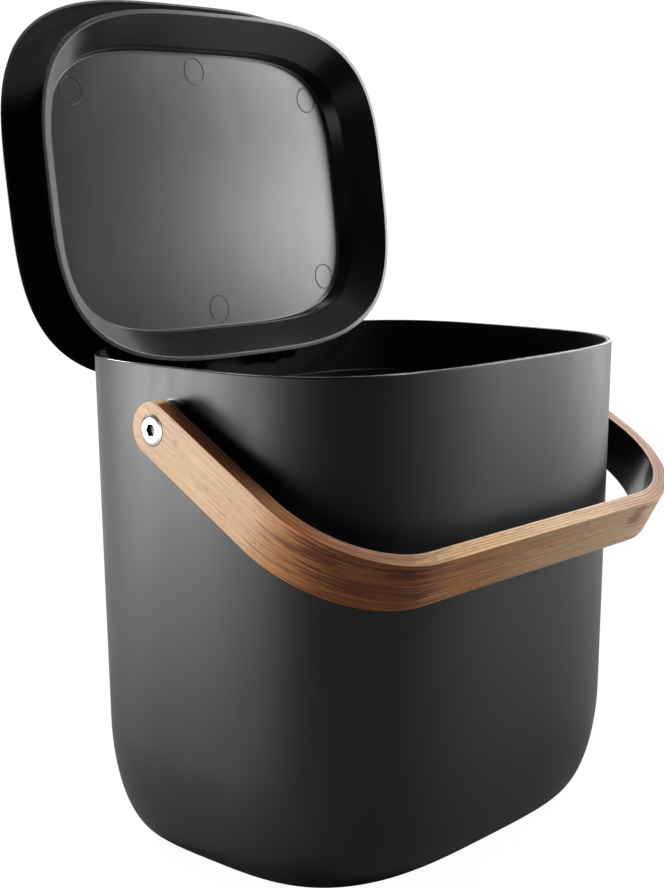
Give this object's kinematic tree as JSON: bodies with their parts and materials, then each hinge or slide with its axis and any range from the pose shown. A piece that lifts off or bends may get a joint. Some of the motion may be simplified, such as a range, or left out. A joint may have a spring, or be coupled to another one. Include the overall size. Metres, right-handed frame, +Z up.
{
  "type": "compost caddy",
  "caption": "Countertop compost caddy: rounded rectangular bin, flush lid on a concealed rear hinge, lift-out bag ring and a laminated wooden bow handle.",
  "frame": {"origin": "centre of the flat underside of the bin", "axes": "+Z up, -Y out of the front where the lowered handle hangs, +Y towards the lid's hinge, +X to the right seen from the front"},
  "size_m": [0.2544, 0.2276, 0.3712],
  "materials": {
    "bin_plastic": "satin black moulded plastic",
    "ring_plastic": "satin black moulded plastic",
    "lid_plastic": "satin black moulded plastic",
    "liner_plastic": "smooth satin black moulded plastic",
    "bamboo": "oiled laminated bamboo",
    "steel": "turned",
    "screw_steel": "satin stainless",
    "brass": "turned",
    "nylon": "natural black nylon"
  },
  "bodies": {
    "caddy": {"bin_body": "bin_plastic", "bag_ring": "ring_plastic", "hinge_pin_left": "steel", "hinge_pin_right": "steel", "handle_bush_left": "steel", "handle_bush_right": "steel", "handle_washer_left": "nylon", "handle_washer_right": "nylon", "handle_screw_left": "screw_steel", "handle_screw_right": "screw_steel", "handle_insert_left": "brass", "handle_insert_right": "brass"},
    "lid": {"lid_cover": "lid_plastic", "lid_liner": "liner_plastic"},
    "handle": {"handle_ply_1": "bamboo", "handle_ply_2": "bamboo", "handle_ply_3": "bamboo", "handle_ply_4": "bamboo", "handle_ply_5": "bamboo"}
  },
  "joints": [
    {"name": "lid_hinge", "type": "hinge", "parent": "caddy", "child": "lid", "pos_m": [0, 0.0815, 0.2038], "axis": [1, 0, 0], "range_deg": [0, 97.6]},
    {"name": "handle_swing", "type": "hinge", "parent": "caddy", "child": "handle", "pos_m": [0, 0, 0.1912], "axis": [-1, 0, 0], "range_deg": [0, 150]}
  ]
}
